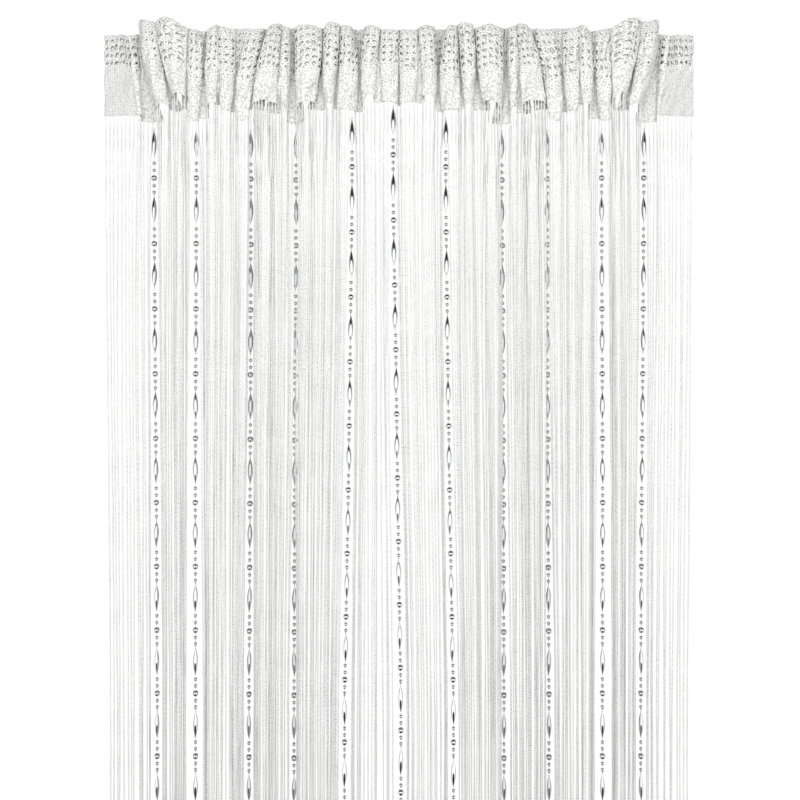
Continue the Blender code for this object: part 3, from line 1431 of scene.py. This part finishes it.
@dataclass
class Fringe:
    """The strings below the tape, each hanging from its own place on the lower edge.

    root is how far down the tape they begin. evened_over counts the strings over which
    their distances even out, and evenness is how much they do.
    """

    path: GatheredPath
    strands: Sequence[Strand]
    root: float = 82.5 * MM
    pitch: float = 4.2 * MM
    drop: float = 2.0
    hem_unevenness: float = 3 * MM
    evened_over: float = 6.0
    evenness: float = 0.8
    root_marks: int = 2001
    seed: int = 21
    hang: StringRun = StringRun()
    shape: StringShape = StringShape()

    def __post_init__(self) -> None:
        """Space the roots along the lower edge, and find those of the beaded strands."""
        marks = np.linspace(0, 1, self.root_marks)
        across = np.abs(self.path.place(marks, np.full(len(marks), self.root))[:, 0])
        crowded = np.cumsum(table_at(across, CROWDING))
        self.count = round(self.path.length / self.pitch * crowded[-1] / len(marks))
        wanted = (np.arange(self.count) + 0.5) / self.count * crowded[-1]
        self.shares = np.interp(wanted, crowded, marks)
        self.roots = self.path.place(self.shares, np.full(self.count, self.root))
        self.beaded = {self.nearest(strand) for strand in self.strands}

    def nearest(self, strand: Strand) -> int:
        """Find the string whose root is nearest to a beaded strand's.

        Args:
            strand: the strand.

        Returns:
            The string's number.
        """
        across = self.roots[:, 0] - strand.across[0] * MM
        forward = self.roots[:, 1] + strand.forward * MM
        return int(np.argmin(across ** 2 + forward ** 2))

    def evened(self, across: Array) -> Array:
        """Average distances from the middle over the strings beside each.

        Args:
            across: the distances.

        Returns:
            The averages, which keep the outermost strings where they are.
        """
        spreads = 3
        reach = round(spreads * self.evened_over)
        wide = np.pad(across, reach, mode="reflect", reflect_type="odd")
        weights = np.exp(-0.5 * (np.arange(-reach, reach + 1) / self.evened_over) ** 2)
        return np.convolve(wide, weights / weights.sum(), mode="valid")

    def distances(self) -> Array:
        """Distances of the strings' rings down from their roots.

        Returns:
            One row for each string, down to its uneven end.
        """
        fast, slow = self.hang.end_waves
        uneven = np.sin(self.roots[:, 0] * fast) * np.cos(self.roots[:, 0] * slow)
        lengths = self.roots[:, 2] + self.drop - self.hem_unevenness * (1 + uneven)
        first = np.array(self.hang.first_rings) * MM
        rest = np.linspace(*self.hang.rest_rings)
        firsts = np.repeat(first[None], self.count, axis=0)
        return np.concatenate([firsts, rest[None] * lengths[:, None]], axis=1)

    def lines(self) -> tuple[Array, Array]:
        """Where every string runs.

        Returns:
            Points by string and ring, and each string's distances down from its root.
        """
        random = np.random.default_rng(self.seed)
        hang, one_each = self.hang, (self.count, 1)
        roots = self.roots
        down = self.distances()
        line = np.repeat(roots[:, None, :], down.shape[1], axis=1)
        line[:, :, 2] -= down
        even = self.evened(roots[:, 0]) - roots[:, 0]
        spread = eased(np.clip(down / hang.evened_in, 0, 1))
        line[:, :, 0] += self.evenness * even[:, None] * spread
        settled = eased(np.clip(down / hang.settled_in, 0, 1))
        line[:, :, 0] += table_at(roots[:, 0], DRIFTS)[:, None] * MM * settled
        line[:, :, 0] += random.uniform(-hang.stray, hang.stray, one_each) * MM * settled
        relaxed = np.clip(down / hang.relaxed_in, 0, 1)
        for axis, reach in enumerate(hang.bends):
            for wave in hang.waves:
                phase = random.uniform(0, TURN, one_each)
                amount = random.uniform(hang.least_bend, 1.0, one_each) * reach * MM
                line[:, :, axis] += amount * relaxed * np.sin(wave * down + phase)
        for strand in self.strands:
            self.keep_clear(line, down, strand)
        return line, down

    def keep_clear(self, line: Array, down: Array, strand: Strand) -> None:
        """Move the strings beside a beaded strand away from it, in place.

        Args:
            line: points by string and ring.
            down: distances down from the roots.
            strand: the strand.
        """
        hang = self.hang
        apart = line[:, :, 0] - strand.across_at(line[:, :, 2])
        reach = [0, hang.clear_near * strand.clear, strand.clear, strand.freed]
        clear = np.interp(down, hang.clear_levels, reach) * MM
        side = np.sign(apart.mean(axis=1, keepdims=True))
        pushed = side * np.sqrt(apart ** 2 + clear ** 2)
        begun = np.clip(down / hang.clear_levels[1], 0, 1)
        near = np.exp(-((apart / hang.clear_width) ** 2)) * begun
        line[:, :, 0] += (pushed - apart) * near

    def build(self, material: bpy.types.Material, pieces: int = 4) -> list[bpy.types.Object]:
        """Build the strings as a few pieces, from left to right.

        Args:
            material: the string's material.
            pieces: how many pieces.

        Returns:
            The pieces.
        """
        line, down = self.lines()
        run = self.path.run(self.shares, np.full(self.count, self.root))
        heading = np.arctan2(run[:, 1], run[:, 0])
        random = np.random.default_rng(self.seed + 1)
        shape = self.shape
        taper = random.uniform(*shape.taper, (self.count, 1))
        widths = table_at(down / taper, shape.widths) * shape.width / 2
        depths = table_at(down, shape.depths) * shape.depth / 2
        offset = random.uniform(0, shape.pattern_offset, self.count) * MM
        twist = np.cumsum(random.uniform(*shape.twist, down.shape), axis=1)
        twist *= np.clip((down - shape.twisted_from) / shape.twisted_over, 0, 1)
        turn = heading[:, None] + twist
        around = np.arange(shape.sides) / shape.sides * 2 * np.pi
        made = []
        for piece, chosen in enumerate(np.array_split(np.arange(self.count), pieces)):
            sketch = MeshSketch()
            for index in chosen:
                if index in self.beaded:
                    continue
                local_x = np.cos(around)[None] * widths[index][:, None]
                local_y = np.sin(around)[None] * depths[index][:, None]
                cos, sin = np.cos(turn[index])[:, None], np.sin(turn[index])[:, None]
                rings = np.repeat(line[index][:, None, :], shape.sides, axis=1)
                rings[:, :, 0] += local_x * cos - local_y * sin
                rings[:, :, 1] += local_x * sin + local_y * cos
                flats = np.empty((*rings.shape[:2], 2))
                beside = index + shape.side_share * np.cos(around)[None]
                flats[:, :, 0] = beside * shape.flat_pitch
                flats[:, :, 1] = rings[:, :, 2] - offset[index]
                faces = tube_faces(len(rings), shape.sides)
                sketch.add(rings.reshape(-1, 3), flats.reshape(-1, 2), faces)
            string_piece = sketch.build(f"strings_{piece + 1}", [material])
            made.append(string_piece)
        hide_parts("string_fringe")
        return made


def tube_faces(rings: int, sides: int) -> list[tuple[int, ...]]:
    """Faces of a tube of rings, closed at both ends.

    Args:
        rings: how many rings.
        sides: how many points in a ring.

    Returns:
        The faces.
    """
    faces = []
    for ring in range(rings - 1):
        for side in range(sides):
            after = (side + 1) % sides
            low = (ring + 1) * sides
            faces.append((ring * sides + side, low + side, low + after, ring * sides + after))
    faces.append(tuple(range(sides)))
    faces.append(tuple((rings - 1) * sides + side for side in reversed(range(sides))))
    return faces


def turned_profile(heights: Array, radii: Array, sides: int) -> tuple[Array, list]:
    """Turn a profile about the vertical axis.

    Args:
        heights: the profile's heights, from the top down.
        radii: its radii.
        sides: how many sides.

    Returns:
        The points and the faces, closed at both ends.
    """
    around = np.arange(sides) / sides * 2 * np.pi
    rings = np.empty((len(heights), sides, 3))
    rings[:, :, 0] = radii[:, None] * np.cos(around)
    rings[:, :, 1] = radii[:, None] * np.sin(around)
    rings[:, :, 2] = heights[:, None]
    return rings.reshape(-1, 3), tube_faces(len(heights), sides)


class Bead(Enum):
    """The round beads between two long ones."""

    SMALL = "small"
    LARGE = "large"


# Photo rows from a long bead's top down to each round bead's middle, in one repeat
ROUND_BEADS = (
    (32.5, Bead.SMALL), (39.6, Bead.SMALL), (47.3, Bead.LARGE), (55.0, Bead.SMALL),
    (61.6, Bead.SMALL),
)


@dataclass
class BeadedStrands:
    """Strands of long, small and large mirrored beads on thin threads.

    A seed bead sits above each long one. spindle_rings are shares of a long bead's length,
    and its radius follows a sine to the power of spindle_fullness, down to tip_radii at
    both ends. pierced is the angle of a round bead's hole, in radians. Down a strand each
    repeat is closer than the last by closing photo rows, through closing_repeats of them.
    """

    fringe: Fringe
    long_length: float = 27.2 * MM
    long_radius: float = 2.55 * MM
    small_radius: float = 1.75 * MM
    large_radius: float = 2.85 * MM
    seed_radius: float = 0.7 * MM
    seed_above: float = 1.6 * MM
    spindle_rings: tuple[float, ...] = (
        0, 0.015, 0.06, 0.13, 0.23, 0.36, 0.5, 0.64, 0.77, 0.87, 0.94, 0.985, 1,
    )
    spindle_fullness: float = 0.85
    tip_radii: tuple[float, float] = (0.35 * MM, 0.55 * MM)
    pierced: float = 0.12
    girth_fullness: float = 0.5
    thread_radius: float = 0.28 * MM
    thread_sides: int = 4
    thread_top: tuple[float, ...] = (0, 5, 15, 30)
    thread_rest: tuple[float, int] = (50 * MM, 50)
    drop: float = 1.985
    tilt: float = math.radians(1.6)
    closing: float = 0.34
    closing_repeats: int = 10
    seed: int = 33

    def spindle(self, sides: int) -> tuple[Array, list]:
        """A long bead: a slim spindle with blunt tips, its top at zero.

        Args:
            sides: how many sides.

        Returns:
            Its points and faces.
        """
        at = np.array(self.spindle_rings)
        radius = self.long_radius * np.sin(np.pi * at) ** self.spindle_fullness
        radius[[0, -1]] = self.tip_radii[0]
        radius[[1, -2]] = self.tip_radii[1]
        return turned_profile(-at * self.long_length, radius, sides)

    def ball(self, radius: float, sides: int, rings: int) -> tuple[Array, list]:
        """A round bead about its middle, pierced for the thread, a little flat at its girth.

        Args:
            radius: its radius.
            sides: how many sides.
            rings: how many rings.

        Returns:
            Its points and faces.
        """
        angles = np.linspace(self.pierced, np.pi - self.pierced, rings)
        girth = np.sin(angles) ** self.girth_fullness
        return turned_profile(radius * np.cos(angles), radius * girth, sides)

    def tilted(self, bead: tuple[Array, list], tilt: float) -> tuple[Array, list]:
        """A long bead turned a little about its middle, in the curtain's plane.

        Args:
            bead: its points and faces.
            tilt: the turn, in radians.

        Returns:
            The turned bead's points and faces.
        """
        places, faces = bead
        middle = np.array([0, 0, -self.long_length / 2])
        out = places - middle
        turned = out.copy()
        turned[:, 0] = out[:, 0] * math.cos(tilt) + out[:, 2] * math.sin(tilt)
        turned[:, 2] = out[:, 2] * math.cos(tilt) - out[:, 0] * math.sin(tilt)
        return turned + middle, faces

    def build(self, mirror: bpy.types.Material, thread: bpy.types.Material) -> None:
        """Build every strand's beads, and the threads as one piece.

        Args:
            mirror: the beads' material.
            thread: the threads' material.
        """
        long_bead = self.spindle(sides=12)
        balls = {
            Bead.SMALL: self.ball(self.small_radius, sides=8, rings=8),
            Bead.LARGE: self.ball(self.large_radius, sides=12, rings=8),
        }
        seed = self.ball(self.seed_radius, sides=6, rings=5)
        threads = MeshSketch()
        random = np.random.default_rng(self.seed)
        for number, strand in enumerate(self.fringe.strands, start=1):
            sketch = MeshSketch()
            for top, repeat in self.repeats(strand):
                self.put(sketch, seed, strand, top + self.seed_above)
                tilted = self.tilted(long_bead, random.uniform(-1, 1) * self.tilt)
                self.put(sketch, tilted, strand, top)
                for row, bead in ROUND_BEADS:
                    self.put(sketch, balls[bead], strand, top - row / REPEAT_ROWS * repeat)
            sketch.build(f"bead_strand_{number}", [mirror])
            root = self.fringe.roots[self.fringe.nearest(strand)]
            self.add_thread(threads, strand, root)
        threads.build("bead_threads", [thread])

    def repeats(self, strand: Strand) -> list[tuple[float, float]]:
        """Where a strand's long beads are.

        Args:
            strand: the strand.

        Returns:
            The height of each long bead's top, and the distance to the next one's.
        """
        tops = []
        row = strand.first
        while True:
            closed = self.closing * min(len(tops), self.closing_repeats)
            rows = strand.period - closed - self.closing / 2
            height = strand.height(row)
            if height - rows * strand.step < -self.drop:
                return tops
            tops.append((height, rows * strand.step))
            row += rows

    def put(self, sketch: MeshSketch, bead: tuple[Array, list], strand: Strand, z: float) -> None:
        """Add one bead to its strand.

        Args:
            sketch: the strand's mesh so far.
            bead: the bead's points and faces.
            strand: the strand.
            z: the bead's height.
        """
        places, faces = bead
        moved = places + [float(strand.across_at(z)), -strand.forward * MM, z]
        sketch.add(moved, places[:, [0, 2]], faces)

    def add_thread(self, sketch: MeshSketch, strand: Strand, root: Array) -> None:
        """Add one strand's thread, from the tape to below its last bead.

        Args:
            sketch: the threads' mesh so far.
            strand: the strand.
            root: where it leaves the tape.
        """
        below, count = self.thread_rest
        heights = np.concatenate([
            root[2] - np.array(self.thread_top) * MM,
            np.linspace(root[2] - below, -self.drop, count),
        ])
        forward = np.full(len(heights), -strand.forward * MM)
        middle = np.column_stack([strand.across_at(heights), forward, heights])
        middle[0, :2] = root[:2]
        sides = self.thread_sides
        around = np.arange(sides) / sides * 2 * np.pi
        rings = np.repeat(middle[:, None, :], sides, axis=1)
        rings[:, :, 0] += np.cos(around) * self.thread_radius
        rings[:, :, 1] += np.sin(around) * self.thread_radius
        flats = rings[:, :, [0, 2]].reshape(-1, 2)
        sketch.add(rings.reshape(-1, 3), flats, tube_faces(len(rings), sides))


# Greys of the white surround, each at a part of the way. Mirrors see the first two: by
# height, and by how far behind the curtain. The last, by height, lights the cloth.
MIRRORED_HEIGHTS = (
    (0.0, 0.03), (0.33, 0.03), (0.37, 1.0), (0.65, 1.0), (0.70, 0.03), (1.0, 0.03),
)
MIRRORED_DEPTHS = ((0.37, 1.0), (0.47, 0.2), (0.76, 0.2), (0.92, 0.9))
LIT_HEIGHTS = ((0.0, 0.85), (0.55, 1.0), (1.0, 0.5))


@dataclass
class Studio:
    """Plain pale floor, a white surround, soft light and the camera.

    lit, mirrored and seen are the surround's strengths as light on the cloth, in mirrors
    and to the eye. In mirrors its bands sink by up to sink, over the depths sunk_over.
    """

    view_width: float = 0.84
    frame_middle: float = 1.05 * MM
    shift: float = 0.05
    sensor_width: float = 36.0
    nearest: float = 0.05
    lit: float = 0.76
    mirrored: float = 1.25
    seen: float = 1.02
    sink: float = 0.24
    sunk_over: tuple[float, float] = (0.1, 0.5)
    floor_height: float = -2.012
    floor_reach: float = 2.2
    light_size: tuple[float, float] = (1.6, 0.7)
    light_energy: float = 18.5
    light_place: tuple[float, float, float] = (0, -1.5, 0.2)
    light_tilt: float = math.radians(82)

    def build(self, floor: bpy.types.Material) -> None:
        """Set the whole studio up.

        Args:
            floor: the floor's material.
        """
        self.add_camera()
        self.add_surround()
        self.add_floor(floor)
        self.add_light()
        bpy.context.scene.view_settings.view_transform = "Standard"

    def add_camera(self) -> None:
        """Place the camera level, straight before the curtain."""
        data = bpy.data.cameras.new("camera")
        data.sensor_width = self.sensor_width
        data.lens = self.sensor_width * EYE_DISTANCE / self.view_width
        data.shift_y = self.shift
        data.clip_start = self.nearest
        camera = bpy.data.objects.new("camera", data)
        camera.location = (self.frame_middle, -EYE_DISTANCE, EYE_HEIGHT)
        camera.rotation_euler = (math.pi / 2, 0, 0)
        bpy.context.scene.collection.objects.link(camera)
        bpy.context.scene.camera = camera

    def add_surround(self) -> None:
        """A white surround, which has its own tones in mirrors.

        There it is bright round the eye's level and dark above and below, lower beyond
        the curtain, with a grey flank on either side.
        """
        world = bpy.data.worlds.new("white_studio")
        bpy.context.scene.world = world
        world.use_nodes = True
        tree = world.node_tree
        tree.nodes.clear()
        place = tree.nodes.new("ShaderNodeTexCoord")
        split = tree.nodes.new("ShaderNodeSeparateXYZ")
        link(tree, place, "Generated", split, "Vector")
        half = 0.5
        depth = math_node(tree, "MULTIPLY_ADD", split.outputs["Y"], half, half)
        height = math_node(tree, "MULTIPLY_ADD", split.outputs["Z"], half, half)
        start, end = self.sunk_over
        sink = add_node(
            tree, "ShaderNodeMapRange", From_Min=start, From_Max=end, To_Max=self.sink,
        )
        tree.links.new(depth, sink.inputs["Value"])
        sunk = math_node(tree, "ADD", height, sink.outputs["Result"])
        tones = [
            self.tone(tree, value, stops)
            for value, stops in (
                (sunk, MIRRORED_HEIGHTS), (depth, MIRRORED_DEPTHS), (height, LIT_HEIGHTS),
            )
        ]
        toned = add_node(tree, "ShaderNodeVectorMath", operation="MULTIPLY")
        for socket, tone in zip(toned.inputs, tones[:2]):
            tree.links.new(tone, socket)
        lit = add_node(tree, "ShaderNodeBackground", Strength=self.lit)
        tree.links.new(tones[2], lit.inputs["Color"])
        mirrored = add_node(tree, "ShaderNodeBackground", Strength=self.mirrored)
        link(tree, toned, "Vector", mirrored, "Color")
        seen = add_node(
            tree, "ShaderNodeBackground", Strength=self.seen, Color=(1, 1, 1, 1),
        )
        rays = tree.nodes.new("ShaderNodeLightPath")
        shown = lit
        for ray, other in (("Is Glossy Ray", mirrored), ("Is Camera Ray", seen)):
            choice = tree.nodes.new("ShaderNodeMixShader")
            link(tree, rays, ray, choice, "Fac")
            tree.links.new(shown.outputs[0], choice.inputs[1])
            tree.links.new(other.outputs[0], choice.inputs[2])
            shown = choice
        end = tree.nodes.new("ShaderNodeOutputWorld")
        tree.links.new(shown.outputs[0], end.inputs["Surface"])

    def tone(self, tree: Tree, value: bpy.types.NodeSocket, stops: tuple) -> bpy.types.NodeSocket:
        """Turn a value into greys.

        Args:
            tree: the node tree.
            value: the value's socket.
            stops: parts of the way and their greys.

        Returns:
            The grey's socket.
        """
        ramp = ramp_node(tree, *stops)
        tree.links.new(value, ramp.inputs["Fac"])
        return ramp.outputs["Color"]

    def add_floor(self, material: bpy.types.Material) -> None:
        """Lay a plain pale floor under the curtain, which mirrors don't see.

        Args:
            material: its material.
        """
        reach = self.floor_reach
        mesh = bpy.data.meshes.new("floor")
        corners = [(-reach, -reach), (reach, -reach), (reach, reach), (-reach, reach)]
        points = [(x, y, self.floor_height) for x, y in corners]
        mesh.from_pydata(points, [], [(0, 1, 2, 3)])
        mesh.materials.append(material)
        floor = bpy.data.objects.new("floor", mesh)
        bpy.context.scene.collection.objects.link(floor)
        floor.visible_glossy = False

    def add_light(self) -> None:
        """Hang one large soft light before the curtain, a little above."""
        data = bpy.data.lights.new("soft_light", "AREA")
        data.shape = "RECTANGLE"
        data.size, data.size_y = self.light_size
        data.energy = self.light_energy
        light = bpy.data.objects.new("soft_light", data)
        light.visible_glossy = False
        light.location = self.light_place
        light.rotation_euler = (self.light_tilt, 0, 0)
        bpy.context.scene.collection.objects.link(light)


def main() -> None:
    """Build the studio and the curtain, one sub-assembly after another."""
    logging.basicConfig(level=logging.INFO, format="%(name)s: %(message)s")
    path = GatheredPath()
    yarn = KnittedYarn().build()
    Studio().build(FloorFinish().make())
    band = YarnFinish(
        "white_knit", light=(0.86, 0.86, 0.855), dark=(0.60, 0.60, 0.595),
        stitch_width=2.8 * MM, stitch_height=2.5 * MM, stray=0.5, relief=0.6 * MM,
    )
    # The flat ends' knit is darker than the band's: painted shade, as the flat ends catch less
    # light than the folds
    flat_end = replace(
        band, name="flat_knit_painted_shade", light=(0.73, 0.73, 0.725), dark=(0.52, 0.52, 0.515),
        stitch_height=2.1 * MM, stray=0.4, relief=0.3 * MM, loose=0.4,
    )
    # The open net: light yarns round dark gaps, which is painted shade, and painted shade at its
    # top edge
    net = replace(
        band, name="net_knit", light=(0.90, 0.90, 0.895), dark=(0.50, 0.50, 0.495),
        lace=1.0, painted_top_shade=0.3,
    )
    # The strings: their darker dots between the chain stitch's links are painted shade
    string = replace(
        band, name="white_string", light=(0.93, 0.93, 0.925), stitch_width=10 * MM,
        stitch_height=2.7 * MM, stray=0.3, glow=0.6, squeeze=0.0, loose=0.3,
    ).make(yarn)
    HeaderTape(path).build([knit.make(yarn) for knit in (band, flat_end, net)])
    fringe = Fringe(path, STRANDS)
    fringe.build(string)
    BeadedStrands(fringe).build(MirrorFinish().make(), string)


if __name__ == "__main__":
    main()
